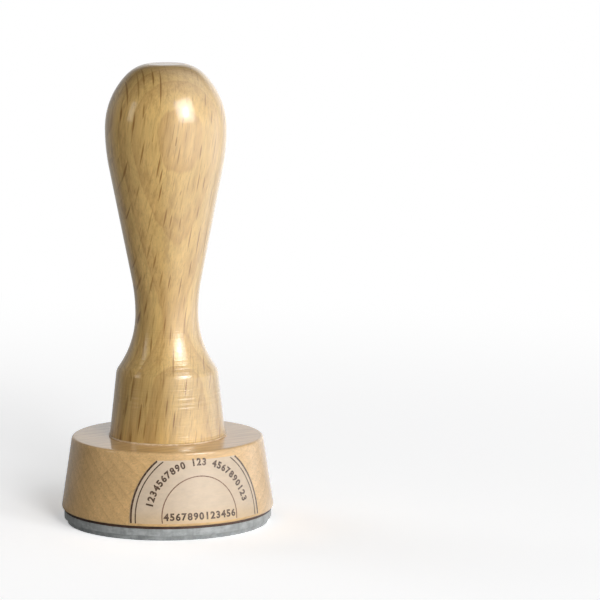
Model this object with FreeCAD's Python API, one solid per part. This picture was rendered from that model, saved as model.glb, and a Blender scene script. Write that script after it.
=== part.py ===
import FreeCAD, Part
import math
import os

# A round hand stamp: a turned wooden handle screwed to a turned wooden block,
# with a laser-cut rubber die stuck under it. All sizes are in millimetres.
# Z runs up the handle, the origin is the middle of the printing face, and the
# label on the block faces -Y.

# ---- driving dimensions ----

# rubber die and the adhesive film above it
imprint_diameter = 40.0        # outer edge of the largest printed ring
die_diameter = 41.3            # the rubber is cut a little larger than the imprint
rubber_thickness = 2.4         # a sheet of laser rubber, sold as 2.3 mm
relief_depth = 1.0             # how far the background is cut back
shoulder_spread = 0.4          # each side of a raised line widens by this at its root
film_thickness = 0.5

# raised lines of the die: (outer edge as a share of the imprint's radius, width of the line)
ring_lines = [(1.0, 0.5), (0.944, 0.25), (0.56, 0.25)]

# raised pads that carry the characters, which stand out of them by character_depth
character_depth = 0.4
arc_row_radius = 14.6          # middle of both curved rows
arc_row_width = 3.0
long_row_angle = 158.0
short_row_angle = 50.0
middle_row_length = 20.4
middle_row_width = 2.7
star_angle = 34.0              # either side of the middle of the short row
star_radius = 0.8

# wooden block
block_thickness = 14.3
block_bottom_diameter = 42.3   # before its lower edge is rounded
block_top_diameter = 38.0
block_bottom_round = 0.5
block_top_round = 0.65

# turned handle; heights are above the block
handle_length = 74.0
foot_diameter = 23.0
foot_round = 0.3
ridge_height = 13.3            # of the collar's ridge
ridge_diameter = 20.1
ridge_round = 0.9
neck_height = 24.6             # of the narrowest place
neck_diameter = 12.5
neck_curve_radius = 36.0       # hollow curve from the neck out to the taper
bulb_height = 61.3             # of the widest place
bulb_diameter = 24.0
bulb_lower_radius = 40.5       # full curve from the taper out to the widest place
bulb_upper_radius = 15.2       # full curve above the widest place
bulb_upper_angle = 44.0        # how far it turns before the crown takes over
end_flat_diameter = 7.2

# countersunk wood screw, driven in from under the block to hold the handle
screw_length = 35.0
screw_head_diameter = 8.0
screw_head_rim = 0.4
screw_head_recess = 0.4        # the head sits this far inside the block
screw_shank_diameter = 2.9
thread_diameter = 4.0
thread_root_diameter = 2.6
thread_pitch = 1.8
thread_start = 13.0            # below the face of the head
thread_gap = 0.5               # share of the pitch that lies at the root
thread_crest = 0.75            # where in the pitch the ridge is highest
screw_tip_length = 4.0
drive_width = 0.9              # cross recess
drive_span = 4.4
drive_depth = 1.7
screw_hole_clearance = 0.3     # on the radius, in the block

# label wrapped round the block
label_thickness = 0.1
label_radius = 13.9            # of its round outline, measured along the surface
label_centre = 5.0
label_bottom = 3.5
label_top = 15.7

# ---- sizes that follow from them ----

block_bottom = rubber_thickness + film_thickness
block_top = block_bottom + block_thickness
handle_top = block_top + handle_length
imprint_radius = imprint_diameter / 2
screw_face = block_bottom + screw_head_recess
margin = 5.0                   # how far a cutting tool runs past what it cuts
flatness = 1e-4                # an edge this flat lies at one height


def point(radius, height):
    return FreeCAD.Vector(radius, 0, height)


def on_circle(centre, radius, angle):
    turn = math.radians(angle)
    return centre + point(radius * math.cos(turn), radius * math.sin(turn))


def arc(centre, radius, start, end):
    """Edge along a circle in the XZ plane, angles in degrees from +X."""
    middle = on_circle(centre, radius, (start + end) / 2)
    return Part.Arc(on_circle(centre, radius, start), middle, on_circle(centre, radius, end)).toShape()


def turned(edges, angle=360.0):
    """Solid of revolution about Z from a closed outline in the XZ plane."""
    face = Part.Face(Part.Wire(edges))
    return face.revolve(FreeCAD.Vector(0, 0, 0), FreeCAD.Vector(0, 0, 1), angle)


def turned_corners(corners, angle=360.0):
    """The same from straight sides, given as (radius, height) corners."""
    outline = [point(radius, height) for radius, height in corners]
    return turned(Part.makePolygon(outline + outline[:1]).Edges, angle)


def rounded(solid, radius, height):
    """Round the outermost circular edge that lies at the given height."""
    level = [e for e in solid.Edges
             if e.BoundBox.ZLength < flatness and abs(e.BoundBox.ZMin - height) < flatness]
    rim = max(level, key=lambda e: e.BoundBox.XLength)
    return solid.makeFillet(radius, [rim])


def taper_lean(neck, bulb):
    """Lean of the straight taper that touches the neck's curve and the bulb's lower curve."""
    rise = bulb.z - neck.z
    both = neck_curve_radius + bulb_lower_radius
    span = both - (bulb.x - neck.x)
    return math.degrees(math.atan2(rise, span) - math.acos(both / math.hypot(span, rise)))


def handle_blank():
    """The turned outside of the handle, solid."""
    foot = point(foot_diameter / 2, block_top)
    ridge = point(ridge_diameter / 2, block_top + ridge_height)
    neck = point(neck_diameter / 2, block_top + neck_height)
    bulb = point(bulb_diameter / 2, block_top + bulb_height)
    end_rim = point(end_flat_diameter / 2, handle_top)

    # hollow flare: starts at the ridge and runs upright into the neck
    step = ridge - neck
    flare_radius = step.dot(step) / (2 * step.x)
    flare_centre = neck + point(flare_radius, 0)
    flare_start = 180 + math.degrees(math.asin(-step.z / flare_radius))

    # neck curve, straight taper and full curve touch each other
    lean = taper_lean(neck, bulb)
    neck_centre = neck + point(neck_curve_radius, 0)
    lower_centre = bulb - point(bulb_lower_radius, 0)
    taper_start = on_circle(neck_centre, neck_curve_radius, 180 - lean)
    taper_end = on_circle(lower_centre, bulb_lower_radius, -lean)

    # the crown carries on from the upper curve and ends on the rim of the end flat
    upper_centre = bulb - point(bulb_upper_radius, 0)
    crown_start = on_circle(upper_centre, bulb_upper_radius, bulb_upper_angle)
    inward = (upper_centre - crown_start) / bulb_upper_radius
    chord = end_rim - crown_start
    crown_radius = chord.dot(chord) / (2 * chord.dot(inward))
    crown_centre = crown_start + inward * crown_radius
    crown_end = math.degrees(math.atan2(end_rim.z - crown_centre.z, end_rim.x - crown_centre.x))

    outline = [Part.makeLine(point(0, block_top), foot)]
    outline.append(Part.makeLine(foot, ridge))
    outline.append(arc(flare_centre, flare_radius, flare_start, 180))
    outline.append(arc(neck_centre, neck_curve_radius, 180, 180 - lean))
    outline.append(Part.makeLine(taper_start, taper_end))
    outline.append(arc(lower_centre, bulb_lower_radius, -lean, 0))
    outline.append(arc(upper_centre, bulb_upper_radius, 0, bulb_upper_angle))
    outline.append(arc(crown_centre, crown_radius, bulb_upper_angle, crown_end))
    outline.append(Part.makeLine(end_rim, point(0, handle_top)))
    outline.append(Part.makeLine(point(0, handle_top), point(0, block_top)))
    blank = rounded(turned(outline), foot_round, block_top)
    return rounded(blank, ridge_round, ridge.z)


def handle():
    """The handle with the hole that the screw cuts up into its foot."""
    return handle_blank().cut(screw_blank())


def block_blank(extra=0.0):
    """The turned outside of the block, solid, grown sideways by extra."""
    bottom_radius = block_bottom_diameter / 2 + extra
    top_radius = block_top_diameter / 2 + extra
    corners = [(0, block_bottom), (bottom_radius, block_bottom), (top_radius, block_top), (0, block_top)]
    blank = rounded(turned_corners(corners), block_bottom_round, block_bottom)
    return rounded(blank, block_top_round, block_top)


def mount_block():
    """The block with its hole for the screw, countersunk at 90 degrees so that the head bears on it."""
    hole_radius = screw_shank_diameter / 2 + screw_hole_clearance
    head_radius = screw_head_diameter / 2
    rim = screw_face + screw_head_rim
    corners = [(0, block_bottom - margin), (head_radius, block_bottom - margin), (head_radius, rim)]
    corners.append((hole_radius, rim + head_radius - hole_radius))
    corners.append((hole_radius, block_top + margin))
    corners.append((0, block_top + margin))
    return block_blank().cut(turned_corners(corners))


def screw_blank():
    """The screw without its cross recess: face of the head down, tip up."""
    head_radius = screw_head_diameter / 2
    shank_radius = screw_shank_diameter / 2
    root_radius = thread_root_diameter / 2
    rim = screw_face + screw_head_rim
    first_ridge = screw_face + thread_start
    tip_start = screw_face + screw_length - screw_tip_length
    corners = [(0, screw_face), (head_radius, screw_face), (head_radius, rim)]
    corners.append((shank_radius, rim + head_radius - shank_radius))
    corners.append((shank_radius, first_ridge))
    # each turn of the thread is drawn as a closed ridge
    ridge_count = int((tip_start - first_ridge) / thread_pitch)
    for turn in range(ridge_count):
        root_height = first_ridge + turn * thread_pitch
        corners.append((root_radius, root_height))
        corners.append((root_radius, root_height + thread_pitch * thread_gap))
        corners.append((thread_diameter / 2, root_height + thread_pitch * thread_crest))
    corners.append((root_radius, tip_start))
    corners.append((0, screw_face + screw_length))
    return turned_corners(corners)


def handle_screw():
    """The countersunk screw with its cross recess."""
    slot = Part.makeBox(drive_span, drive_width, drive_depth + margin)
    slot.translate(FreeCAD.Vector(-drive_span / 2, -drive_width / 2, screw_face - margin))
    cross_slot = slot.rotated(FreeCAD.Vector(0, 0, 0), FreeCAD.Vector(0, 0, 1), 90)
    return screw_blank().cut(slot.fuse(cross_slot))


def raised_bar(width, height, middle=0.0):
    """Corners of a raised line's section: its printing face down, its sides sloping out to the root."""
    root = relief_depth
    spread = shoulder_spread * (root - height) / root
    half = width / 2
    return [(middle - half - spread, root), (middle - half, height), (middle + half, height),
            (middle + half + spread, root)]


def curved_pad(angle, facing):
    """Raised pad under a curved row of characters, its middle at the given direction from +X."""
    pad = turned_corners(raised_bar(arc_row_width, character_depth, arc_row_radius), angle)
    pad.rotate(FreeCAD.Vector(0, 0, 0), FreeCAD.Vector(0, 0, 1), facing - angle / 2)
    return pad


def middle_pad():
    """Straight raised pad along X under the middle row."""
    corners = [FreeCAD.Vector(-middle_row_length / 2, y, z)
               for y, z in raised_bar(middle_row_width, character_depth)]
    section = Part.Face(Part.makePolygon(corners + corners[:1]))
    return section.extrude(FreeCAD.Vector(middle_row_length, 0, 0))


def star_pad(direction):
    """Raised cone under a small star between the two curved rows."""
    place = FreeCAD.Vector(arc_row_radius, 0, 0)
    base = star_radius + shoulder_spread
    pad = Part.makeCone(star_radius, base, relief_depth - character_depth, place + point(0, character_depth))
    pad.rotate(FreeCAD.Vector(0, 0, 0), FreeCAD.Vector(0, 0, 1), direction)
    return pad


def stamp_die():
    """Rubber sheet with the raised rings and the pads that carry its characters."""
    raised = []
    for share, width in ring_lines:
        middle = imprint_radius * share - width / 2
        raised.append(turned_corners(raised_bar(width, 0, middle)))
    # the die faces down, so the long row stands towards +Y, as on a print seen from above
    raised.append(curved_pad(long_row_angle, 90))
    raised.append(curved_pad(short_row_angle, -90))
    raised.append(middle_pad())
    for side in (-1, 1):
        raised.append(star_pad(-90 + side * star_angle))
    sheet = Part.makeCylinder(die_diameter / 2, rubber_thickness - relief_depth, point(0, relief_depth))
    return sheet.multiFuse(raised).removeSplitter()


def mounting_film():
    return Part.makeCylinder(die_diameter / 2, film_thickness, point(0, rubber_thickness))


def label_window():
    """Prism along Y with the label's outline: a circle bent round the block, cut off top and bottom."""
    block_radius = (block_bottom_diameter + block_top_diameter) / 4
    half_width = block_radius * math.sin(label_radius / block_radius)
    centre = point(0, label_centre)
    oval = Part.Ellipse(centre + point(0, label_radius), centre + point(half_width, 0), centre)
    prism = Part.Face(Part.Wire(oval.toShape())).extrude(FreeCAD.Vector(0, -block_bottom_diameter, 0))
    corner = FreeCAD.Vector(-label_radius, -block_bottom_diameter, label_bottom)
    band = Part.makeBox(2 * label_radius, block_bottom_diameter, label_top - label_bottom, corner)
    return prism.common(band)


def index_label():
    """Thin label that follows the side of the block."""
    skin = block_blank(label_thickness).cut(block_blank())
    return skin.common(label_window())


parts = {
    "handle": handle(),
    "mount_block": mount_block(),
    "handle_screw": handle_screw(),
    "mounting_film": mounting_film(),
    "stamp_die": stamp_die(),
    "index_label": index_label(),
}

os.makedirs("parts", exist_ok=True)
for name, shape in parts.items():
    shape.exportStep("parts/" + name + ".step")
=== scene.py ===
import bpy
import math
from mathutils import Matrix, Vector, noise


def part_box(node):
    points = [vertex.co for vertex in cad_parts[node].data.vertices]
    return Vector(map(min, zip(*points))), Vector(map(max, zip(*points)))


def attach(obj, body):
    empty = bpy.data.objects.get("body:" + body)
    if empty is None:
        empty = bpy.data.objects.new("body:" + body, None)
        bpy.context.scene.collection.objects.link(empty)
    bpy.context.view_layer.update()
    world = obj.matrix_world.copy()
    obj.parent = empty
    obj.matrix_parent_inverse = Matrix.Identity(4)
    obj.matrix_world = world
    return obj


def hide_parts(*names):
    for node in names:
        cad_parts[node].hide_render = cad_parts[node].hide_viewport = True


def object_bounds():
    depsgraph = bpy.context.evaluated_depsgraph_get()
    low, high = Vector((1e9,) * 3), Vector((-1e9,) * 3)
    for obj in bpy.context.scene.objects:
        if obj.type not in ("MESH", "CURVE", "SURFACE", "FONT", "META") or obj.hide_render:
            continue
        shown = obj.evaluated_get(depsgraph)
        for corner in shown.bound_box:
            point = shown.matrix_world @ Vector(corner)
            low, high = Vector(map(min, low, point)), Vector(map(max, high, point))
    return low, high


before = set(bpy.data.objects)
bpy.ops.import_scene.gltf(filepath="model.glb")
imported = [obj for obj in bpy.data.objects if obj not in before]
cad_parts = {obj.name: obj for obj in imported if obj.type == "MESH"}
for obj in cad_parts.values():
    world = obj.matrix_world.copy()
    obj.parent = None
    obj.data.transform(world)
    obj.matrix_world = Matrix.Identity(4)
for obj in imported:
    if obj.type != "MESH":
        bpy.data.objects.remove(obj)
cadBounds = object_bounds()

mm = 0.001
scene = bpy.context.scene

# heights and radii that come with the frame, in metres
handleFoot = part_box("handle")[0].z
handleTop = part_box("handle")[1].z
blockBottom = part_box("mount_block")[0].z
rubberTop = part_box("stamp_die")[1].z
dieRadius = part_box("stamp_die")[1].x
labelLow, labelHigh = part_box("index_label")
objectMiddle = (cadBounds[0] + cadBounds[1]) / 2


def arcLine(centre, radius, startAngle, endAngle, steps):
    # points of an arc, as (distance from the axis, height), angles in degrees
    turns = [math.radians(startAngle + (endAngle - startAngle) * i / steps) for i in range(steps + 1)]
    return [centre + radius * Vector((math.cos(a), math.sin(a))) for a in turns]


def straightLine(start, end, steps):
    return [start.lerp(end, i / steps) for i in range(steps + 1)]


def cutBack(line, reach):
    # takes the last stretch off a line, reach long
    line = list(line)
    while (line[-1] - line[-2]).length < reach:
        reach -= (line[-1] - line[-2]).length
        line.pop()
    away = (line[-2] - line[-1]).normalized()
    return line[:-1] + [line[-1] + away * reach]


def joinRounded(first, second, radius, steps=8):
    # two lines that meet in a corner, joined by a rounding of about that radius
    corner = first[-1]
    turn = (first[-1] - first[-2]).angle(second[1] - second[0])
    reach = radius * math.tan(turn / 2)
    before = cutBack(first, reach)
    after = cutBack(second[::-1], reach)[::-1]
    bend = []
    for i in range(1, steps):
        t = i / steps
        bend.append(before[-1] * (1 - t) ** 2 + corner * 2 * t * (1 - t) + after[0] * t ** 2)
    return before + bend + after


def turnedMesh(name, line, segments, sharpAngle=35.0):
    # turns a line of (radius, height) about Z, from the bottom up, with a wrapped-round UV map
    onAxis = 1e-7
    verts, rows = [], []
    for radius, height in line:
        if radius < onAxis:
            rows.append([len(verts)] * segments)
            verts.append((0, 0, height))
            continue
        rows.append(list(range(len(verts), len(verts) + segments)))
        for i in range(segments):
            a = math.tau * i / segments
            verts.append((radius * math.sin(a), -radius * math.cos(a), height))
    run = [0.0]
    for a, b in zip(line, line[1:]):
        run.append(run[-1] + (b - a).length)
    faces, uvs = [], []
    for low in range(len(rows) - 1):
        for i in range(segments):
            j = (i + 1) % segments
            corners = [rows[low][i], rows[low][j], rows[low + 1][j], rows[low + 1][i]]
            places = [(i, low), (i + 1, low), (i + 1, low + 1), (i, low + 1)]
            kept = [k for k in range(4) if corners[k] != corners[k - 1]]
            faces.append([corners[k] for k in kept])
            uvs += [(places[k][0] / segments, run[places[k][1]] / run[-1]) for k in kept]
    mesh = bpy.data.meshes.new(name)
    mesh.from_pydata(verts, [], faces)
    layer = mesh.uv_layers.new(name="OFBake")
    layer.data.foreach_set("uv", [value for uv in uvs for value in uv])
    mesh.shade_smooth()
    mesh.set_sharp_from_angle(angle=math.radians(sharpAngle))
    return mesh


def addPiece(name, mesh, material, slot, *nodes):
    piece = bpy.data.objects.new(name, mesh)
    scene.collection.objects.link(piece)
    piece.data.materials.append(material)
    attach(piece, "root")
    if nodes:
        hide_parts(*nodes)
    print(name, "made:", len(mesh.polygons), "faces")


def wire(tree, node, wires):
    # gives each named input either a value or the socket that feeds it
    for socket, value in wires.items():
        if isinstance(value, bpy.types.NodeSocket):
            tree.links.new(value, node.inputs[socket])
        else:
            node.inputs[socket].default_value = value
    return node


def add(tree, kind, wires=None, **settings):
    node = tree.nodes.new(kind)
    for key, value in settings.items():
        setattr(node, key, value)
    return wire(tree, node, wires or {})


def calc(tree, operation, a, b=0.0, c=0.0, clamp=False):
    node = add(tree, "ShaderNodeMath", {0: a, 1: b, 2: c}, operation=operation, use_clamp=clamp)
    return node.outputs[0]


def vectorCalc(tree, operation, a, b=(0, 0, 0)):
    node = add(tree, "ShaderNodeVectorMath", {0: a, 1: b}, operation=operation)
    return node.outputs["Value" if operation in ("LENGTH", "DOT_PRODUCT") else "Vector"]


def scaled(tree, vector, factor):
    # makes a colour or a place larger or smaller as a whole
    wires = {0: vector, "Scale": factor}
    return add(tree, "ShaderNodeVectorMath", wires, operation="SCALE").outputs["Vector"]


def split(tree, vector):
    return add(tree, "ShaderNodeSeparateXYZ", {0: vector}).outputs


def ramp(tree, value, low, high, toLow=0.0, toHigh=1.0, smooth=True):
    kind = "SMOOTHSTEP" if smooth else "LINEAR"
    wires = {"Value": value, "From Min": low, "From Max": high, "To Min": toLow, "To Max": toHigh}
    return add(tree, "ShaderNodeMapRange", wires, interpolation_type=kind).outputs["Result"]


def blendColours(tree, share, first, second):
    return add(tree, "ShaderNodeMix", {0: share, 6: first, 7: second}, data_type="RGBA").outputs[2]


def blendValues(tree, share, first, second):
    return add(tree, "ShaderNodeMix", {0: share, 2: first, 3: second}).outputs[0]


def speckle(tree, spot, stretch, detail=2.0, roughness=0.5):
    # noise about 0.5, stretched by that many features per mm each way
    wires = {"Vector": vectorCalc(tree, "MULTIPLY", spot, stretch), "Scale": 1.0}
    wires.update({"Detail": detail, "Roughness": roughness})
    return add(tree, "ShaderNodeTexNoise", wires).outputs["Fac"]


def newGroup(name, inputs, outputs):
    # inputs are (name, kind, value or None), outputs are (name, kind)
    group = bpy.data.node_groups.new(name, "ShaderNodeTree")
    for socketName, kind, value in inputs:
        kind = "NodeSocket" + kind
        socket = group.interface.new_socket(name=socketName, in_out="INPUT", socket_type=kind)
        if value is not None:
            socket.default_value = value
    for socketName, kind in outputs:
        group.interface.new_socket(name=socketName, in_out="OUTPUT", socket_type="NodeSocket" + kind)
    entry = group.nodes.new("NodeGroupInput")
    result = group.nodes.new("NodeGroupOutput")
    return group, entry.outputs, result


def placeGroup(tree, group, wires):
    return add(tree, "ShaderNodeGroup", wires, node_tree=group).outputs


def newMaterial(name):
    material = bpy.data.materials.new(name)
    material.use_nodes = True
    tree = material.node_tree
    tree.nodes.clear()
    shader = add(tree, "ShaderNodeBsdfPrincipled")
    add(tree, "ShaderNodeOutputMaterial", {0: shader.outputs[0]})
    return material, tree, shader


def placeInMm(tree):
    # the piece's own coordinates, in mm
    return scaled(tree, add(tree, "ShaderNodeTexCoord").outputs["Object"], 1 / mm)


def bump(tree, height, relief):
    # relief in mm
    wires = {"Height": height, "Distance": relief * mm, "Strength": 1.0}
    return add(tree, "ShaderNodeBump", wires).outputs[0]


def rgb(red, green, blue):
    return (red, green, blue, 1.0)


beechPlan = {
    # features per mm: sideways, towards the bark, along the grain
    "warp": (0.10, 0.10, 0.04), "wave": (0.50, 0.40, 0.16), "streaks": (2.4, 2.4, 0.07),
    "pores": (4.6, 4.6, 0.35), "clouds": (0.14, 0.14, 0.04), "stains": (0.95, 0.95, 0.11),
    # growth layers: how far in mm the patterns push them, and how each one darkens inwards
    "warpReach": 0.9, "waveReach": 0.7, "wanderShift": -0.8, "weakestYear": 0.75,
    "darkening": 1.3, "edgeLine": (0.80, 0.95), "edgeLineDepth": 0.2, "softStart": (0.93, 1.0, 1.0, 0.0),
    # from and to where a pattern acts, and the tones it gives
    "cloudTone": (0.3, 0.7, 0.90, 1.08), "streakTone": (0.28, 0.72, 0.85, 1.12),
    "poreTone": (0.54, 0.72, 1.0, 0.80), "stainTone": (0.44, 0.72),
    # rays: a cell and half a fleck in mm, softness of the edge, share of cells with a fleck
    "largeFlecks": ((1.75, 12.0, 6.2), (0.24, 10.0, 3.7), 0.85, 0.9),
    "smallFlecks": ((0.95, 7.0, 3.2), (0.13, 5.0, 1.9), 0.95, 0.7), "smallFleckDepth": 0.5,
    "cellShuffle": 0.9, "fleckStretch": (0.75, 1.9), "faintestFleck": 0.35,
}


def fleckMarks(tree, spot, cell, half, edge, keep):
    # flat ribbons of ray cells: thin across, long inwards, a few mm along the grain
    cells = vectorCalc(tree, "DIVIDE", spot, cell)
    wires = {"Vector": cells, "Scale": 1.0, "Randomness": beechPlan["cellShuffle"]}
    voronoi = add(tree, "ShaderNodeTexVoronoi", wires, voronoi_dimensions="3D", feature="F1")
    away = vectorCalc(tree, "SUBTRACT", cells, voronoi.outputs["Position"])
    inHalves = vectorCalc(tree, "MULTIPLY", away, tuple(c / h for c, h in zip(cell, half)))
    across, inward, along = split(tree, inHalves)
    luck = add(tree, "ShaderNodeSeparateColor", {0: voronoi.outputs["Color"]}).outputs
    stretch = ramp(tree, luck[0], 0.0, 1.0, *beechPlan["fleckStretch"], smooth=False)
    length = calc(tree, "MULTIPLY", along, stretch)
    room = calc(tree, "SUBTRACT", 1.0, calc(tree, "MULTIPLY", length, length))
    room = calc(tree, "SUBTRACT", room, calc(tree, "MULTIPLY", inward, inward))
    inside = calc(tree, "SUBTRACT", room, calc(tree, "ABSOLUTE", across))
    shape = ramp(tree, inside, 0.0, edge)
    shown = ramp(tree, luck[1], 1 - keep, 1.0, beechPlan["faintestFleck"], 1.0, smooth=False)
    there = calc(tree, "GREATER_THAN", luck[1], 1 - keep)
    return calc(tree, "MULTIPLY", shape, calc(tree, "MULTIPLY", shown, there))


def makeBeechGroup(s):
    # spot is in mm with the grain along Z and the bark towards +Y
    group, given, result = newGroup(
        "beechFigure",
        [("Spot", "Vector", None), ("Layer Spacing", "Float", 2.55), ("Layer Shift", "Float", 0.0),
         ("Layer Depth", "Float", 1.0), ("Fleck Depth", "Float", 1.0), ("Stain Depth", "Float", 0.30),
         ("Light Wood", "Color", None), ("Late Wood", "Color", None), ("Fleck Wood", "Color", None)],
        [("Colour", "Color")])
    spot = given["Spot"]

    # growth layers: each starts light, darkens inwards and ends at a clear edge
    warp = speckle(group, spot, s["warp"], 2.0)
    wave = speckle(group, spot, s["wave"], 3.0)
    drift = calc(group, "MULTIPLY_ADD", wave, s["waveReach"], s["wanderShift"])
    drift = calc(group, "MULTIPLY_ADD", warp, s["warpReach"], drift)
    depth = calc(group, "ADD", split(group, spot)["Y"], drift)
    layers = calc(group, "ADD", calc(group, "DIVIDE", depth, given["Layer Spacing"]), given["Layer Shift"])
    inLayer = calc(group, "SUBTRACT", 1.0, calc(group, "FRACT", layers))
    number = add(group, "ShaderNodeCombineXYZ", {"X": calc(group, "FLOOR", layers)}).outputs[0]
    year = add(group, "ShaderNodeTexWhiteNoise", {"Vector": number}, noise_dimensions="3D").outputs["Value"]
    strength = ramp(group, year, 0.0, 1.0, s["weakestYear"], 1.0, smooth=False)
    strength = calc(group, "MULTIPLY", strength, given["Layer Depth"])
    gather = calc(group, "POWER", inLayer, s["darkening"])
    edgeLine = ramp(group, inLayer, *s["edgeLine"])
    shade = calc(group, "MULTIPLY_ADD", edgeLine, s["edgeLineDepth"], gather)
    shade = calc(group, "MULTIPLY", shade, ramp(group, inLayer, *s["softStart"]))
    late = calc(group, "MULTIPLY", shade, strength, clamp=True)

    # long fine streaks, short pores and broad clouds of tone
    streaks = speckle(group, spot, s["streaks"], 4.0, 0.65)
    pores = speckle(group, spot, s["pores"], 3.0)
    clouds = speckle(group, spot, s["clouds"], 3.0)
    colour = blendColours(group, late, given["Light Wood"], given["Late Wood"])
    tone = ramp(group, clouds, *s["cloudTone"], smooth=False)
    tone = calc(group, "MULTIPLY", tone, ramp(group, streaks, *s["streakTone"], smooth=False))
    tone = calc(group, "MULTIPLY", tone, ramp(group, pores, *s["poreTone"]))
    stains = speckle(group, spot, s["stains"], 3.0, 0.55)
    stained = calc(group, "MULTIPLY", ramp(group, stains, *s["stainTone"]), given["Stain Depth"])
    toned = blendColours(group, stained, scaled(group, colour, tone), given["Fleck Wood"])

    # rays show as dark flecks where the surface cuts across them
    large = fleckMarks(group, spot, *s["largeFlecks"])
    small = fleckMarks(group, spot, *s["smallFlecks"])
    flecks = calc(group, "MAXIMUM", large, calc(group, "MULTIPLY", small, s["smallFleckDepth"]))
    share = calc(group, "MULTIPLY", flecks, given["Fleck Depth"], clamp=True)
    wire(group, result, {"Colour": blendColours(group, share, toned, given["Fleck Wood"])})
    return group


ringsPlan = {             # mm
    "pitch": 0.45, "patchesPerMm": (0.12, 0.12, 0.12), "patchDepth": (0.35, 0.65, 0.45, 1.0),
}


def makeRingsGroup(s):
    # faint grooves left by the turning tool, under the lacquer, stronger in some patches
    group, given, result = newGroup(
        "latheRings",
        [("Along", "Float", 0.0), ("Pitch", "Float", s["pitch"]), ("Spot", "Vector", None)],
        [("Height", "Float")])
    turns = calc(group, "DIVIDE", given["Along"], given["Pitch"])
    line = add(group, "ShaderNodeCombineXYZ", {"X": turns}).outputs[0]
    rings = add(group, "ShaderNodeTexNoise", {"Vector": line, "Scale": 1.0, "Detail": 2.0}).outputs["Fac"]
    patches = speckle(group, given["Spot"], s["patchesPerMm"], 1.0)
    height = calc(group, "MULTIPLY", rings, ramp(group, patches, *s["patchDepth"]))
    wire(group, result, {"Height": height})
    return group


lacquerPlan = {           # smudges and peel in features per mm, relief in mm
    "broadSmudges": (0.16, 0.16, 0.1), "broadShare": 0.65, "fineSmudges": (1.3, 1.3, 0.8), "fineShare": 0.35,
    "smudgeRange": (0.35, 0.65), "peel": (0.55, 0.55, 0.55), "ringShare": 0.9, "relief": 0.012,
    "veilIor": 1.42, "veilRoughness": 0.62,
}


def makeLacquerGroup(s):
    # smudges and dulling from handling, and the slight orange peel of the lacquer
    group, given, result = newGroup(
        "handledLacquer", [("Spot", "Vector", None), ("Rings", "Float", 0.0)],
        [("Smudges", "Float"), ("Height", "Float")])
    broad = speckle(group, given["Spot"], s["broadSmudges"], 4.0, 0.6)
    fine = speckle(group, given["Spot"], s["fineSmudges"], 3.0, 0.6)
    mixed = calc(group, "MULTIPLY_ADD", fine, s["fineShare"], calc(group, "MULTIPLY", broad, s["broadShare"]))
    peel = speckle(group, given["Spot"], s["peel"], 2.0)
    wire(group, result, {
        "Smudges": ramp(group, mixed, *s["smudgeRange"], smooth=False),
        "Height": calc(group, "MULTIPLY_ADD", given["Rings"], s["ringShare"], peel)})
    return group


def makeUnevenGroup():
    # two tones in patches, with a roughness and a relief that follow the same patches
    group, given, result = newGroup(
        "unevenTone",
        [("Spot", "Vector", None), ("Patches Per Mm", "Vector", None), ("Detail", "Float", 3.0),
         ("Raggedness", "Float", 0.6), ("First Tone", "Color", None), ("Second Tone", "Color", None),
         ("Tones From", "Float", 0.35), ("Tones To", "Float", 0.65),
         ("Least Rough", "Float", 0.3), ("Most Rough", "Float", 0.5)],
        [("Colour", "Color"), ("Roughness", "Float"), ("Height", "Float")])
    patches = speckle(group, given["Spot"], given["Patches Per Mm"], given["Detail"], given["Raggedness"])
    share = ramp(group, patches, given["Tones From"], given["Tones To"])
    wire(group, result, {
        "Colour": blendColours(group, share, given["First Tone"], given["Second Tone"]),
        "Roughness": ramp(group, patches, 0.3, 0.7, given["Least Rough"], given["Most Rough"], smooth=False),
        "Height": patches})
    return group


beechFigure = makeBeechGroup(beechPlan)
latheRings = makeRingsGroup(ringsPlan)
handledLacquer = makeLacquerGroup(lacquerPlan)
unevenTone = makeUnevenGroup()
print("shader groups made")


def beechColour(tree, spot, s):
    # the wood as it lies in its piece: turned about X, Y and Z
    turn = {"Vector": spot, "Rotation": tuple(math.radians(a) for a in s["grainTurn"])}
    grain = add(tree, "ShaderNodeVectorRotate", turn, rotation_type="EULER_XYZ").outputs[0]
    return placeGroup(tree, beechFigure, {"Spot": grain, **s["figure"]})["Colour"]


def lacquer(tree, shader, spot, ringHeight, s):
    # a crisp gloss below, a dull veil of fine scratches over it
    film = placeGroup(tree, handledLacquer, {"Spot": spot, "Rings": ringHeight})
    wire(tree, shader, {
        "Roughness": ramp(tree, film["Smudges"], 0.0, 1.0, *s["gloss"], smooth=False),
        "Normal": bump(tree, film["Height"], lacquerPlan["relief"]), "IOR": s["ior"],
        "Coat Weight": s["veil"], "Coat IOR": lacquerPlan["veilIor"],
        "Coat Roughness": lacquerPlan["veilRoughness"]})


def unevenMaterial(name, s):
    material, tree, shader = newMaterial(name)
    tone = placeGroup(tree, unevenTone, {"Spot": placeInMm(tree), **s["tone"]})
    wire(tree, shader, {
        "Base Color": tone["Colour"], "Roughness": tone["Roughness"],
        "Normal": bump(tree, tone["Height"], s["relief"])})
    return material


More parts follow.
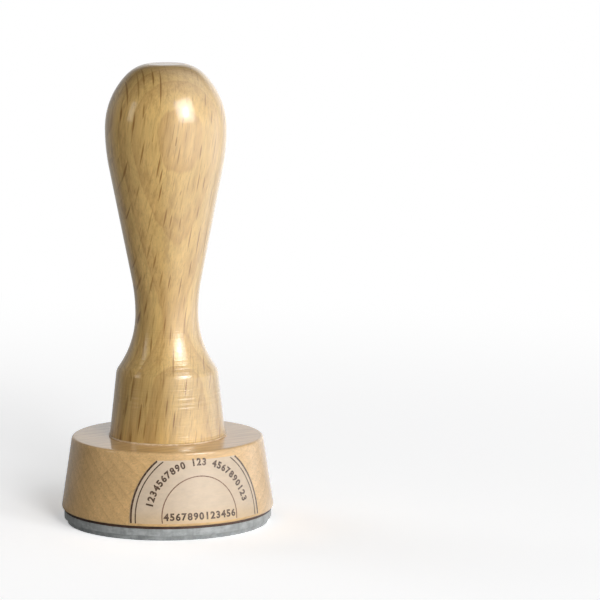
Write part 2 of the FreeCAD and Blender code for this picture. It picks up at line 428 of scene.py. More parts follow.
handlePlan = {            # mm, heights above the block
    "footRadius": 11.5, "footRound": 0.45,
    "ridgeRadius": 10.05, "ridgeHeight": 13.3, "ridgeRound": 2.6,
    "neckRadius": 6.25, "neckHeight": 24.6, "neckCurve": 36.0,
    "bulbRadius": 12.0, "bulbHeight": 61.3, "bulbLowerCurve": 40.5,
    "bulbUpperCurve": 15.2, "bulbUpperTurn": 44.0, "endRadius": 3.6, "endRound": 0.35,
    "screwRadius": 2.0, "screwTip": 21.2, "segments": 224,

    # wood and lacquer, here with heights above the printing face
    "grainTurn": (0, -8.5, 185.3),
    "figure": {
        "Layer Spacing": 2.9, "Layer Shift": 0.845, "Layer Depth": 0.88, "Fleck Depth": 1.0,
        "Light Wood": rgb(0.715, 0.474, 0.170), "Late Wood": rgb(0.568, 0.344, 0.120),
        "Fleck Wood": rgb(0.27, 0.124, 0.026)},
    "endGrainAndShadeTone": (83.0, 90.5, 1.0, 0.76),      # darker towards the end: end grain that drinks more lacquer, and painted shade for a top the lamps light too brightly
    "footPaintedShade": (27.0, 36.0, 0.84, 1.0),          # painted shade: the foot and collar, up to above the ridge, are darkened in the colour
    "ringPitch": 0.45, "ringDepth": (36.0, 43.0, 12.0, 0.8),      # deepest below the neck
    "gloss": (0.10, 0.19), "ior": 1.7, "veil": 1.0,
}


def handleMaterial(s):
    material, tree, shader = newMaterial("lacqueredHandleBeech")
    spot = placeInMm(tree)
    height = split(tree, spot)["Z"]
    # painted shade: the crown is darkened partly for end grain and partly for shade, the foot wholly for
    # shade
    endGrainAndShade, foot = ramp(tree, height, *s["endGrainAndShadeTone"]), ramp(tree, height, *s["footPaintedShade"])
    colour = scaled(tree, beechColour(tree, spot, s), calc(tree, "MULTIPLY", endGrainAndShade, foot))
    wire(tree, shader, {"Base Color": colour})
    rings = placeGroup(tree, latheRings, {"Along": height, "Pitch": s["ringPitch"], "Spot": spot})["Height"]
    lacquer(tree, shader, spot, calc(tree, "MULTIPLY", rings, ramp(tree, height, *s["ringDepth"])), s)
    return material


def handleLine(s):
    length = (handleTop - handleFoot) / mm
    foot = Vector((s["footRadius"], 0))
    ridge = Vector((s["ridgeRadius"], s["ridgeHeight"]))
    neck = Vector((s["neckRadius"], s["neckHeight"]))
    bulb = Vector((s["bulbRadius"], s["bulbHeight"]))
    endRim = Vector((s["endRadius"], length))

    # hollow flare from the ridge up into the neck
    step = ridge - neck
    flareRadius = step.length_squared / (2 * step.x)
    flareStart = 180 - math.degrees(math.asin(step.y / flareRadius))
    flare = arcLine(neck + Vector((flareRadius, 0)), flareRadius, flareStart, 180, 30)

    # neck curve, straight taper and full curve touch each other
    both = s["neckCurve"] + s["bulbLowerCurve"]
    across = both - (bulb.x - neck.x)
    rise = bulb.y - neck.y
    lean = math.degrees(math.atan2(rise, across) - math.acos(both / math.hypot(across, rise)))
    neckArc = arcLine(neck + Vector((s["neckCurve"], 0)), s["neckCurve"], 180, 180 - lean, 16)
    lowerArc = arcLine(bulb - Vector((s["bulbLowerCurve"], 0)), s["bulbLowerCurve"], -lean, 0, 18)
    taper = straightLine(neckArc[-1], lowerArc[0], 24)

    # the crown carries on from the upper curve to the flat end
    upperCentre = bulb - Vector((s["bulbUpperCurve"], 0))
    upperArc = arcLine(upperCentre, s["bulbUpperCurve"], 0, s["bulbUpperTurn"], 22)
    inward = (upperCentre - upperArc[-1]).normalized()
    chord = endRim - upperArc[-1]
    crownRadius = chord.length_squared / (2 * chord.dot(inward))
    crownCentre = upperArc[-1] + inward * crownRadius
    crownEnd = math.degrees(math.atan2(endRim.y - crownCentre.y, endRim.x - crownCentre.x))
    crown = arcLine(crownCentre, crownRadius, s["bulbUpperTurn"], crownEnd, 16)

    hole = [Vector((0, s["screwTip"])), Vector((s["screwRadius"], s["screwTip"] - s["screwRadius"]))]
    hole += straightLine(Vector((s["screwRadius"], 0)), foot, 4)
    line = joinRounded(hole, straightLine(foot, ridge, 16), s["footRound"])
    line = joinRounded(line, flare, s["ridgeRound"])
    line += neckArc[1:] + taper[1:] + lowerArc[1:] + upperArc[1:] + crown[1:]
    line = joinRounded(line, straightLine(endRim, Vector((0, length)), 4), s["endRound"], 4)
    return [Vector((p.x * mm, handleFoot + p.y * mm)) for p in line]


addPiece("turnedHandle", turnedMesh("turnedHandle", handleLine(handlePlan), handlePlan["segments"]),
         handleMaterial(handlePlan), "handle_beech", "handle")


rimHighlightPlan = {              # mm; a thin pale ring in the corner between foot and block: its pale tones are a painted highlight along the foot's lower edge
    "radius": 0.17, "rise": 0.12, "swell": 0.04, "swellsPerRadius": 6.0, "segments": 224,
    "tone": {
        "Patches Per Mm": (0.9, 0.9, 2.0), "Detail": 3.0, "Raggedness": 0.6,
        "First Tone": rgb(0.56, 0.40, 0.22), "Second Tone": rgb(0.80, 0.65, 0.46),
        "Tones From": 0.35, "Tones To": 0.65, "Least Rough": 0.35, "Most Rough": 0.5},
    "relief": 0.05,
}


def footRimHighlightMesh(s):
    # a thin uneven ring, a little fatter in some places
    centre = Vector((handlePlan["footRadius"], s["rise"]))
    ring = [p * mm + Vector((0, handleFoot)) for p in arcLine(centre, s["radius"], 0, 360, 12)]
    mesh = turnedMesh("footRimHighlight", ring, s["segments"])
    for vert in mesh.vertices:
        turn = Vector((vert.co.x, vert.co.y, 0)).normalized()
        swell = s["swell"] * mm * noise.noise(turn * s["swellsPerRadius"])
        vert.co.x += turn.x * swell
        vert.co.y += turn.y * swell
    return mesh


# painted highlight: a pale ring that stands for the light caught by the foot's lower edge
addPiece("footRimHighlight", footRimHighlightMesh(rimHighlightPlan), unevenMaterial("footRimPaintedHighlight", rimHighlightPlan), "handle_beech")


blockPlan = {             # mm
    "bottomRadius": 21.15, "topRadius": 19.0, "bottomRound": 0.5, "topRound": 0.65,
    "holeRadius": 1.75, "headRadius": 4.0, "headRise": 0.8, "segments": 256,

    # the grain runs across the block, its layers lean 45 degrees
    "grainTurn": (90, -78, -45),
    "figure": {
        "Layer Spacing": 1.8, "Layer Shift": 0.35, "Layer Depth": 0.6, "Fleck Depth": 0.22,
        "Stain Depth": 0.10, "Light Wood": rgb(0.735, 0.478, 0.216),
        "Late Wood": rgb(0.605, 0.371, 0.158), "Fleck Wood": rgb(0.36, 0.20, 0.09)},
    "ringPitch": 0.5, "gloss": (0.03, 0.08), "ior": 1.5, "veil": 0.6,
}


def blockMaterial(s):
    material, tree, shader = newMaterial("lacqueredBlockBeech")
    spot = placeInMm(tree)
    wire(tree, shader, {"Base Color": beechColour(tree, spot, s)})
    out = vectorCalc(tree, "LENGTH", vectorCalc(tree, "MULTIPLY", spot, (1, 1, 0)))
    along = calc(tree, "SUBTRACT", split(tree, spot)["Z"], out)
    rings = placeGroup(tree, latheRings, {"Along": along, "Pitch": s["ringPitch"], "Spot": spot})["Height"]
    lacquer(tree, shader, spot, rings, s)
    return material


def blockRadius(height):
    # outside of the block at a height in metres, back in metres
    share = (height - blockBottom) / (handleFoot - blockBottom)
    return (blockPlan["bottomRadius"] + (blockPlan["topRadius"] - blockPlan["bottomRadius"]) * share) * mm


def blockLine(s):
    top = (handleFoot - blockBottom) / mm
    low = Vector((s["bottomRadius"], 0))
    high = Vector((s["topRadius"], top))
    sink = s["headRise"] + s["headRadius"] - s["holeRadius"]
    under = [Vector((s["holeRadius"], sink)), Vector((s["headRadius"], s["headRise"]))]
    under += straightLine(Vector((s["headRadius"], 0)), low, 6)
    line = joinRounded(under, straightLine(low, high, 16), s["bottomRound"])
    line = joinRounded(line, straightLine(high, Vector((s["holeRadius"], top)), 12), s["topRound"])
    line.append(line[0])
    return [Vector((p.x * mm, blockBottom + p.y * mm)) for p in line]


addPiece("turnedBlock", turnedMesh("turnedBlock", blockLine(blockPlan), blockPlan["segments"]),
         blockMaterial(blockPlan), "block_beech", "mount_block")


diePlan = {               # mm
    "reliefDepth": 1.0, "shoulder": 0.4, "segments": 256, "sharpAngle": 25,
    "rings": [(20.0, 0.5), (18.88, 0.25), (11.2, 0.25)],      # outer radius, width
    "wander": 0.035, "wandersPerMm": 0.45,
    # darkened by the laser in upright cuts, with pale powder left in clouds; patterns in features per mm
    "charred": rgb(0.242, 0.256, 0.255), "cut": rgb(0.34, 0.360, 0.360),
    "powdered": rgb(0.475, 0.494, 0.496), "cuts": (1.1, 1.1, 0.12), "cutTone": (0.32, 0.68),
    "clouds": (0.45, 0.45, 0.9), "cloudTone": (0.42, 0.68, 0.0, 0.75), "grit": (5.0, 5.0, 5.0),
    "gritShare": 0.3, "gloss": (0.34, 0.5), "ior": 1.7, "relief": 0.06,
}


def rubberMaterial(s):
    material, tree, shader = newMaterial("laserRubber")
    spot = placeInMm(tree)
    cuts = speckle(tree, spot, s["cuts"], 4.0, 0.6)
    clouds = speckle(tree, spot, s["clouds"], 4.0, 0.65)
    grit = speckle(tree, spot, s["grit"], 3.0)
    colour = blendColours(tree, ramp(tree, cuts, *s["cutTone"]), s["charred"], s["cut"])
    share = ramp(tree, clouds, *s["cloudTone"])
    wire(tree, shader, {
        "Base Color": blendColours(tree, share, colour, s["powdered"]), "IOR": s["ior"],
        "Roughness": ramp(tree, clouds, 0.3, 0.7, *s["gloss"], smooth=False),
        "Normal": bump(tree, calc(tree, "MULTIPLY_ADD", grit, s["gritShare"], cuts), s["relief"])})
    return material


def roughenEdge(mesh, s):
    # lets the outline of a cut sheet wander a little, mostly inwards
    rim, upright, shift = 0.96, 0.4, 0.5      # share of the radius, stretch of the waves, push inwards
    for vert in mesh.vertices:
        flat = Vector((vert.co.x, vert.co.y, 0))
        if flat.length > dieRadius * rim:
            spot = Vector((vert.co.x, vert.co.y, vert.co.z * upright)) * s["wandersPerMm"] / mm
            vert.co += flat.normalized() * (noise.noise(spot) - shift) * s["wander"] * mm


def dieLine(s):
    # from the middle of the engraved side out over the rings, up the edge and back along the top
    root = s["reliefDepth"]
    line = [Vector((0, root))]
    for outer, width in sorted(s["rings"]):
        line += straightLine(line[-1], Vector((outer - width - s["shoulder"], root)), 3)[1:]
        line += [Vector((outer - width, 0)), Vector((outer, 0)), Vector((outer + s["shoulder"], root))]
    edge = dieRadius / mm
    top = rubberTop / mm
    line += straightLine(Vector((edge, root)), Vector((edge, top)), 6)
    line.append(Vector((0, top)))
    return [p * mm for p in line]


dieRubber = rubberMaterial(diePlan)
dieMesh = turnedMesh("dieSheet", dieLine(diePlan), diePlan["segments"], diePlan["sharpAngle"])
roughenEdge(dieMesh, diePlan)
addPiece("dieSheet", dieMesh, dieRubber, "die_rubber", "stamp_die")


filmPlan = {              # mm
    "inset": 0.02, "segments": 256, "wander": 0.12, "wandersPerMm": 1.1,
    "tone": {
        "Patches Per Mm": (0.6, 0.6, 0.6), "Detail": 3.0, "Raggedness": 0.6,
        "First Tone": rgb(0.030, 0.017, 0.012), "Second Tone": rgb(0.075, 0.042, 0.028),
        "Tones From": 0.35, "Tones To": 0.7, "Least Rough": 0.45, "Most Rough": 0.7},
    "relief": 0.05,
}


def filmLine(s):
    edge = dieRadius - s["inset"] * mm
    line = [Vector((0, rubberTop))]
    line += straightLine(Vector((edge, rubberTop)), Vector((edge, blockBottom)), 4)
    return line + [Vector((0, blockBottom))]


filmMesh = turnedMesh("filmDisc", filmLine(filmPlan), filmPlan["segments"])
roughenEdge(filmMesh, filmPlan)
addPiece("filmDisc", filmMesh, unevenMaterial("adhesiveFilm", filmPlan), "adhesive_film", "mounting_film")


signMeshes = {}


def signMesh(sign, bold, bevel):
    # one digit as (points, faces) at a height of 1, its front and back at +1 and -1
    key = (sign, bold, bevel)
    if key not in signMeshes:
        text = bpy.data.curves.new("sign", "FONT")
        text.body = sign
        text.offset = bold
        text.extrude = 0.0 if bevel else 0.1
        text.bevel_depth = bevel
        text.bevel_resolution = 0
        text.resolution_u = 5
        holder = bpy.data.objects.new("sign", text)
        mesh = bpy.data.meshes.new_from_object(holder)
        low = Vector([min(v.co[i] for v in mesh.vertices) for i in range(3)])
        high = Vector([max(v.co[i] for v in mesh.vertices) for i in range(3)])
        tall = high.y - low.y
        points = [Vector(((v.co.x - (low.x + high.x) / 2) / tall, (v.co.y - low.y) / tall, v.co.z / high.z))
                  for v in mesh.vertices]
        signMeshes[key] = (points, [list(face.vertices) for face in mesh.polygons])
        bpy.data.objects.remove(holder)
        bpy.data.curves.remove(text)
        bpy.data.meshes.remove(mesh)
    return signMeshes[key]


def writeRow(shell, signs, height, placeAt, bold, bevel=0.0):
    # adds each sign to the shell; placeAt turns (number, across, up, through) into a point
    for number, sign in enumerate(signs):
        if sign == " ":
            continue
        points, faces = signMesh(sign, bold, bevel)
        first = len(shell["points"])
        shell["points"] += [placeAt(number, p.x * height, (p.y - 0.5) * height, p.z) for p in points]
        shell["faces"] += [[first + corner for corner in face] for face in faces]


def roundRow(centre, radius, first, last, count, inwards=False):
    # where signs stand on a curved row: upright at its top, or at its bottom where inwards
    def at(number, across, up):
        angle = math.radians(first + (last - first) * number / (count - 1))
        out = Vector((math.cos(angle), math.sin(angle)))
        right = Vector((out.y, -out.x))
        if inwards:
            return centre + out * (radius - up) - right * across
        return centre + out * (radius + up) + right * across
    return at


def shellMesh(name, shell):
    mesh = bpy.data.meshes.new(name)
    mesh.from_pydata(shell["points"], [], shell["faces"])
    mesh.validate()
    mesh.shade_smooth()
    mesh.set_sharp_from_angle(angle=math.radians(30))
    return mesh


def addStrip(shell, sections):
    # a closed bar through a row of four-cornered sections
    first = len(shell["points"])
    for section in sections:
        shell["points"] += section
    for i in range(len(sections) - 1):
        a = first + 4 * i
        for k in range(4):
            n = (k + 1) % 4
            shell["faces"].append([a + k, a + n, a + 4 + n, a + 4 + k])
    end = first + 4 * (len(sections) - 1)
    shell["faces"].append([first + 3, first + 2, first + 1, first])
    shell["faces"].append([end, end + 1, end + 2, end + 3])


labelPlan = {             # mm, measured along the side of the block
    "centreHeight": 5.0, "radius": 13.9, "bendRadius": 20.3, "lift": 0.06, "sink": 0.03,
    "rows": 40, "columns": 90,
    # a cream film, warmer lower down, that lets some of the wood's figure through
    "cream": rgb(0.625, 0.530, 0.430), "warmCream": rgb(0.615, 0.472, 0.31), "warmFrom": 7.0, "warmTo": 3.4,
    "woodShare": 0.22, "fibresPerMm": (0.5, 0.5, 0.9), "fibreTone": (0.3, 0.7, 0.95, 1.05),
    "gloss": (0.30, 0.42), "ior": 1.5, "veil": 0.3,
}


def onBlock(across, height, lift):
    # a place on the side of the block, lift above its wood
    angle = across / labelPlan["bendRadius"]
    radius = blockRadius(height * mm) + lift * mm
    return Vector((radius * math.sin(angle), -radius * math.cos(angle), height * mm))


def labelMesh(s):
    points, faces = [], []
    bottom, top = labelLow.z / mm, labelHigh.z / mm
    for lift in (-s["sink"], s["lift"]):
        for i in range(s["rows"] + 1):
            height = bottom + (top - bottom) * i / s["rows"]
            half = math.sqrt(s["radius"] ** 2 - (height - s["centreHeight"]) ** 2)
            for j in range(s["columns"] + 1):
                points.append(onBlock(half * (2 * j / s["columns"] - 1), height, lift))
    wide = s["columns"] + 1
    layer = wide * (s["rows"] + 1)
    for i in range(s["rows"]):
        for j in range(s["columns"]):
            a = i * wide + j
            faces.append([a, a + wide, a + wide + 1, a + 1])
            faces.append([layer + a, layer + a + 1, layer + a + wide + 1, layer + a + wide])
    rim = list(range(wide)) + [i * wide + wide - 1 for i in range(1, s["rows"] + 1)]
    rim += [layer - 1 - j for j in range(1, wide)] + [i * wide for i in range(s["rows"] - 1, 0, -1)]
    for a, b in zip(rim, rim[1:] + rim[:1]):
        faces.append([a, b, layer + b, layer + a])
    return shellMesh("labelFilm", {"points": points, "faces": faces})


def labelMaterial(s):
    material, tree, shader = newMaterial("labelFilm")
    spot = placeInMm(tree)
    warm = ramp(tree, split(tree, spot)["Z"], s["warmFrom"], s["warmTo"])
    cream = blendColours(tree, warm, s["cream"], s["warmCream"])
    fibres = speckle(tree, spot, s["fibresPerMm"], 4.0, 0.6)
    cream = scaled(tree, cream, ramp(tree, fibres, *s["fibreTone"]))
    colour = blendColours(tree, s["woodShare"], cream, beechColour(tree, spot, blockPlan))
    wire(tree, shader, {"Base Color": colour})
    lacquer(tree, shader, spot, fibres, s)
    return material


def inkMaterial(name, dark, light):
    tone = {"Patches Per Mm": (1.6, 1.6, 1.6), "Detail": 4.0, "Raggedness": 0.65, "First Tone": dark,
            "Second Tone": light, "Tones From": 0.3, "Tones To": 0.7, "Least Rough": 0.2, "Most Rough": 0.35}
    return unevenMaterial(name, {"tone": tone, "relief": 0.01})


def curvedLine(shell, centre, radius, width, start, end, thick):
    # a printed line, with a section about every degree and a half
    steps = max(6, int(abs(end - start) / 1.5))
    sections = []
    for i in range(steps + 1):
        angle = math.radians(start + (end - start) * i / steps)
        section = []
        for out, lift in ((-0.5, 0.0), (0.5, 0.0), (0.5, thick), (-0.5, thick)):
            reach = radius + out * width
            section.append(onBlock(reach * math.cos(angle), centre + reach * math.sin(angle), lift))
        sections.append(section)
    addStrip(shell, sections)


def angleAt(height, centre, radius):
    # where a round line reaches a height, in degrees
    return math.degrees(math.asin((height - centre) / radius))


printPlan = {             # mm
    "lift": 0.09, "clearOfEdge": 0.05,
    "lines": [(5.1, 13.62, 0.36, 15.62), (5.1, 12.75, 0.22, 15.5)],     # centre, radius, width, cut off above
    "arcRow": "1234567890 123 4567890123", "arcCentre": 5.05, "arcRadius": 10.25, "arcFrom": 168.0,
    "arcTo": 12.0, "middleRow": "4567890123456", "middleLength": 14.5, "middleSpacing": 0.94,
    "middleHeight": 4.85, "signHeight": 1.45, "bold": 0.042,
    "dark": rgb(0.060, 0.036, 0.024), "light": rgb(0.135, 0.082, 0.052),
}


def printMesh(s):
    shell = {"points": [], "faces": []}
    bottom = labelLow.z / mm + s["clearOfEdge"]
    for centre, radius, width, top in s["lines"]:
        low, high = angleAt(bottom, centre, radius), angleAt(top, centre, radius)
        curvedLine(shell, centre, radius, width, low, high, s["lift"])
        curvedLine(shell, centre, radius, width, 180 - high, 180 - low, s["lift"])

    arcCentre = Vector((0, s["arcCentre"]))
    row = roundRow(arcCentre, s["arcRadius"], s["arcFrom"], s["arcTo"], len(s["arcRow"]))

    def onArc(number, across, up, through):
        spot = row(number, across, up)
        return onBlock(spot.x, spot.y, s["lift"] * (0.5 + through / 2))

    def onMiddle(number, across, up, through):
        step = s["middleLength"] / (len(s["middleRow"]) - 1)
        start = -s["middleLength"] / 2
        along = (start + step * number) * s["middleSpacing"] + across
        return onBlock(along, s["middleHeight"] + up, s["lift"] * (0.5 + through / 2))

    writeRow(shell, s["arcRow"], s["signHeight"], onArc, s["bold"])
    writeRow(shell, s["middleRow"], s["signHeight"], onMiddle, s["bold"])
    return shellMesh("labelPrint", shell)


innerLinePlan = {         # mm
    "centre": 4.9, "radius": 7.62, "width": 0.20, "cutOffBelow": 3.66, "lift": 0.09,
    "dark": rgb(0.16, 0.080, 0.050), "light": rgb(0.25, 0.140, 0.090),
}


def innerLineMesh(s):
    shell = {"points": [], "faces": []}
    low = angleAt(s["cutOffBelow"], s["centre"], s["radius"])
    curvedLine(shell, s["centre"], s["radius"], s["width"], low, 180 - low, s["lift"])
    return shellMesh("labelInnerLine", shell)


addPiece("labelFilm", labelMesh(labelPlan), labelMaterial(labelPlan), "label_paper", "index_label")
brownInk = inkMaterial("brownInk", printPlan["dark"], printPlan["light"])
redBrownInk = inkMaterial("redBrownInk", innerLinePlan["dark"], innerLinePlan["light"])
addPiece("labelPrint", printMesh(printPlan), brownInk, "label_paper")
addPiece("labelInnerLine", innerLineMesh(innerLinePlan), redBrownInk, "label_paper")


characterPlan = {         # mm, angles in degrees
    "padHeight": 0.6, "rowRadius": 14.6, "rowWidth": 3.0, "middleLength": 20.4, "middleWidth": 2.7,
    "longRow": 158.0, "shortRow": 50.0, "rowMargin": 4, "middleMargin": 1.6, "overlap": 0.05,
    "shortSigns": "8901234", "signHeight": 1.9, "middleSignHeight": 1.8, "bold": 0.02, "bevel": 0.045,
    "starAngle": 34.0, "starRadius": 0.8, "starWaist": 0.42, "starDepth": 0.7, "starFlare": 1.35,
}


def padBar(shell, toFace, width, steps, start, end):
    # a raised pad along a row; toFace turns (along, across) into a point of the die's face
    relief, padHeight = diePlan["reliefDepth"], characterPlan["padHeight"]
    low = relief - padHeight
    spread = diePlan["shoulder"] * padHeight / relief
    root = relief + characterPlan["overlap"]
    corners = ((-width / 2 - spread, root), (-width / 2, low), (width / 2, low), (width / 2 + spread, root))
    sections = []
    for i in range(steps + 1):
        along = start + (end - start) * i / steps
        sections.append([Vector((*toFace(along, across), height)) * mm for across, height in corners])
    addStrip(shell, sections)


def onRing(radius):
    def toFace(angle, across):
        turn = math.radians(angle)
        return (radius + across) * math.cos(turn), (radius + across) * math.sin(turn)
    return toFace


def addStar(shell, centre, s):
    # a small five-armed star as a tapered prism
    first = len(shell["points"])
    for height, grow in ((0.0, 1.0), (s["starDepth"], s["starFlare"])):
        for k in range(10):
            reach = s["starRadius"] * grow * (1.0 if k % 2 == 0 else s["starWaist"])
            turn = math.radians(90 + 36 * k)
            spot = centre + Vector((reach * math.cos(turn), reach * math.sin(turn)))
            shell["points"].append(Vector((spot.x, spot.y, height)) * mm)
    shell["faces"].append([first + k for k in range(10)])
    shell["faces"].append([first + 19 - k for k in range(10)])
    for k in range(10):
        n = (k + 1) % 10
        shell["faces"].append([first + n, first + k, first + 10 + k, first + 10 + n])


def dieCharacterMesh(s):
    shell = {"points": [], "faces": []}
    ring = onRing(s["rowRadius"])
    padBar(shell, ring, s["rowWidth"], 60, 90 - s["longRow"] / 2, 90 + s["longRow"] / 2)
    padBar(shell, ring, s["rowWidth"], 24, -90 - s["shortRow"] / 2, -90 + s["shortRow"] / 2)
    padBar(shell, lambda along, across: (along, across), s["middleWidth"], 20,
           -s["middleLength"] / 2, s["middleLength"] / 2)

    def raised(row):
        def at(number, across, up, through):
            spot = row(number, across, up)
            return Vector((spot.x, spot.y, (diePlan["reliefDepth"] - s["padHeight"]) * (1 - through))) * mm
        return at

    def straight(number, across, up):
        length = s["middleLength"] - s["middleMargin"]
        return Vector((-length / 2 + length / (len(printPlan["middleRow"]) - 1) * number + across, up))

    centre = Vector((0, 0))
    longSigns, shortSigns, middleSigns = printPlan["arcRow"], s["shortSigns"], printPlan["middleRow"]
    longReach = s["longRow"] / 2 - s["rowMargin"]
    shortReach = s["shortRow"] / 2 - s["rowMargin"]
    longRow = roundRow(centre, s["rowRadius"], 90 + longReach, 90 - longReach, len(longSigns))
    shortRow = roundRow(centre, s["rowRadius"], -90 - shortReach, -90 + shortReach, len(shortSigns),
                        inwards=True)
    for signs, row, height in ((longSigns, longRow, s["signHeight"]), (shortSigns, shortRow, s["signHeight"]),
                               (middleSigns, straight, s["middleSignHeight"])):
        writeRow(shell, signs, height, raised(row), s["bold"], s["bevel"])
    for side in (-1, 1):
        turn = math.radians(-90 + side * s["starAngle"])
        addStar(shell, Vector((math.cos(turn), math.sin(turn))) * s["rowRadius"], s)
    return shellMesh("dieCharacters", shell)


addPiece("dieCharacters", dieCharacterMesh(characterPlan), dieRubber, "die_rubber")


screwPlan = {             # brushed zinc, yellow with pale blotches; patterns in features per mm
    "yellow": rgb(0.72, 0.62, 0.38), "pale": rgb(0.66, 0.60, 0.52), "blotches": (0.5, 0.5, 0.5),
    "blotchTone": (0.35, 0.65), "brushed": (0.8, 0.8, 6.0), "gloss": (0.28, 0.45), "relief": 0.01,
}


def screwMaterial(s):
    material, tree, shader = newMaterial("yellowZinc")
    spot = placeInMm(tree)
    brushed = speckle(tree, spot, s["brushed"], 3.0, 0.6)
    blotches = speckle(tree, spot, s["blotches"], 3.0)
    wire(tree, shader, {
        "Base Color": blendColours(tree, ramp(tree, blotches, *s["blotchTone"]), s["yellow"], s["pale"]),
        "Metallic": 1.0, "Roughness": ramp(tree, brushed, 0.3, 0.7, *s["gloss"], smooth=False),
        "Normal": bump(tree, brushed, s["relief"])})
    return material


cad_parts["handle_screw"].data.materials[0] = screwMaterial(screwPlan)
print("screw plated")


cameraPlan = {            # degrees, metres and mm of lens
    "azimuth": -18.3, "distance": 0.7492, "height": 0.1591,
    "tilt": 8.715, "pan": 2.017, "lens": 229.6, "sensor": 36, "nearest": 0.01,
}

backdropPlan = {          # from and to where, as a share of the direction, and the levels it gives there
    "rear": (0.2, 0.75, 0.02, 1.22), "rearUp": (0.25, 0.6, 1.0, 0.1), "rearSide": (-0.5, 0.5, 0.35, 1.3),
    "wall": (-0.25, 0.72, 0.0, 2.9), "wallBehind": (0.3, 0.95, 1.0, 0.0), "wallUp": (0.0, 0.35, 1.0, 0.65),
    "air": 0.03,          # what lights the object from all round
}


def backdropLevel(tree, way, s):
    # what the object mirrors: dark in front, a bright wall on the right, pale behind
    a = math.radians(cameraPlan["azimuth"])
    behind = vectorCalc(tree, "DOT_PRODUCT", way, (-math.sin(a), math.cos(a), 0))
    side = vectorCalc(tree, "DOT_PRODUCT", way, (math.cos(a), math.sin(a), 0))
    up = split(tree, way)["Z"]
    rear = ramp(tree, behind, *s["rear"])
    rear = calc(tree, "MULTIPLY", rear, ramp(tree, up, *s["rearUp"]))
    rear = calc(tree, "MULTIPLY", rear, ramp(tree, side, *s["rearSide"]))
    wall = ramp(tree, side, *s["wall"], smooth=False)
    wall = calc(tree, "MULTIPLY", wall, ramp(tree, behind, *s["wallBehind"]))
    wall = calc(tree, "MULTIPLY", wall, ramp(tree, up, *s["wallUp"]))
    return calc(tree, "MAXIMUM", rear, wall)


floorPlan = {             # metres
    # colours to the camera, to the light that falls back on the object, and in mirroring pieces
    "halfSize": 4.0, "seen": rgb(2.16, 2.17, 2.20), "lighting": rgb(0.7, 0.7, 0.7),
    "mirrored": rgb(0.5, 0.5, 0.5),
    # share of plain glow: it hides the shadow further away from the object
    "nearShare": (0.018, 0.05, 0.60, 1.0), "farShare": (0.05, 0.30, 0.59, 1.0),
}


def makeFloor(s):
    mesh = bpy.data.meshes.new("studioFloor")
    half = s["halfSize"]
    corners = [(-half, -half, 0), (half, -half, 0), (half, half, 0), (-half, half, 0)]
    mesh.from_pydata(corners, [], [(0, 1, 2, 3)])
    floor = bpy.data.objects.new("studioFloor", mesh)
    scene.collection.objects.link(floor)
    material = bpy.data.materials.new("paleFloor")
    material.use_nodes = True
    tree = material.node_tree
    tree.nodes.clear()
    spot = add(tree, "ShaderNodeTexCoord").outputs["Object"]
    path = add(tree, "ShaderNodeLightPath").outputs
    seen, mirrored = path["Is Camera Ray"], path["Is Glossy Ray"]
    colour = blendColours(tree, mirrored, s["lighting"], s["mirrored"])
    colour = blendColours(tree, seen, colour, s["seen"])
    diffuse = add(tree, "ShaderNodeBsdfDiffuse", {"Color": colour}).outputs[0]
    way = vectorCalc(tree, "NORMALIZE", spot)
    level = blendValues(tree, seen, backdropLevel(tree, way, backdropPlan), 1.0)
    glow = add(tree, "ShaderNodeEmission", {"Color": rgb(1, 1, 1), "Strength": level}).outputs[0]
    away = vectorCalc(tree, "LENGTH", spot)
    near, far = ramp(tree, away, *s["nearShare"]), ramp(tree, away, *s["farShare"])
    either = calc(tree, "MAXIMUM", seen, mirrored)
    share = calc(tree, "MULTIPLY", calc(tree, "MULTIPLY", near, far), either)
    top = add(tree, "ShaderNodeMixShader", {0: share, 1: diffuse, 2: glow}).outputs[0]
    under = add(tree, "ShaderNodeBsdfTransparent").outputs[0]
    back = add(tree, "ShaderNodeNewGeometry").outputs["Backfacing"]
    sides = add(tree, "ShaderNodeMixShader", {0: back, 1: top, 2: under}).outputs[0]
    add(tree, "ShaderNodeOutputMaterial", {0: sides})
    mesh.materials.append(material)


def makeWorld(s):
    world = bpy.data.worlds.new("studioAir")
    scene.world = world
    world.use_nodes = True
    tree = world.node_tree
    tree.nodes.clear()
    path = add(tree, "ShaderNodeLightPath").outputs
    way = add(tree, "ShaderNodeTexCoord").outputs["Generated"]
    mirrored = calc(tree, "MAXIMUM", path["Is Glossy Ray"], path["Is Transmission Ray"])
    level = blendValues(tree, mirrored, s["air"], backdropLevel(tree, way, s))
    level = blendValues(tree, path["Is Camera Ray"], level, 1.0)
    glow = add(tree, "ShaderNodeBackground", {"Color": rgb(1, 1, 1), "Strength": level}).outputs[0]
    add(tree, "ShaderNodeOutputWorld", {0: glow})


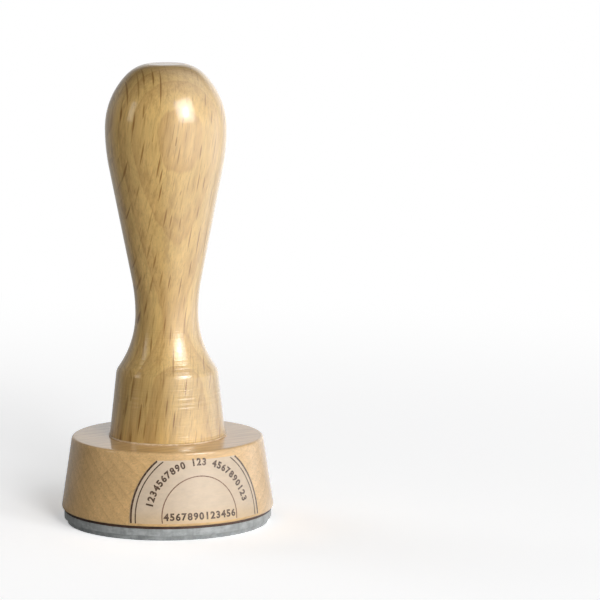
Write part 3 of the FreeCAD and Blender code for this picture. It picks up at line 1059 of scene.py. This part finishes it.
def makeCamera(s):
    data = bpy.data.cameras.new("studioCamera")
    data.sensor_width = s["sensor"]
    data.lens = s["lens"]
    data.clip_start = s["nearest"]
    camera = bpy.data.objects.new("studioCamera", data)
    scene.collection.objects.link(camera)
    a = math.radians(s["azimuth"])
    camera.location = (s["distance"] * math.sin(a), -s["distance"] * math.cos(a), s["height"])
    camera.rotation_euler = (math.radians(90 - s["tilt"]), 0, math.radians(s["azimuth"] - s["pan"]))
    scene.camera = camera


lampPlan = {   # angle from the camera, elevation, distance, width, height, radiance, what it lights, spread
    "keyBox": (42.0, 19.0, 1.80, 0.56, 1.10, 5.1, "shade", 180),
    "frontBox": (19.0, 16.0, 1.80, 0.48, 1.10, 13.3, "shade", 180),
    "leftBack": (-125.0, 17.0, 1.60, 0.9, 0.9, 2.3, "shade", 180),
    "keyGleam": (42.0, 28.0, 1.80, 1.15, 1.06, 0.9, "gleam", 60),
    "keyCore": (41.0, 25.5, 1.80, 0.40, 0.42, 0.8, "gleam", 60),
    "leftGlint": (-74.0, 22.0, 1.00, 0.20, 0.42, 1.5, "gleam", 180),
}


def addLamp(name, fromCamera, elevation, distance, width, height, radiance, part, spread):
    light = bpy.data.lights.new(name, "AREA")
    light.shape = "RECTANGLE"
    light.size = width
    light.size_y = height
    light.energy = radiance * math.pi * width * height
    light.spread = math.radians(spread)
    lamp = bpy.data.objects.new(name, light)
    scene.collection.objects.link(lamp)
    a, e = math.radians(cameraPlan["azimuth"] + fromCamera), math.radians(elevation)
    way = Vector((math.sin(a) * math.cos(e), -math.cos(a) * math.cos(e), math.sin(e)))
    lamp.location = objectMiddle + way * distance
    lamp.rotation_euler = (lamp.location - objectMiddle).to_track_quat("Z", "Y").to_euler()
    lamp.visible_camera = False
    lamp.visible_glossy = part != "shade"
    lamp.visible_diffuse = part != "gleam"


makeFloor(floorPlan)
makeWorld(backdropPlan)
makeCamera(cameraPlan)
for lampName, lampValues in lampPlan.items():
    addLamp(lampName, *lampValues)
scene.view_settings.view_transform = "Standard"
print("stage and lamps ready")
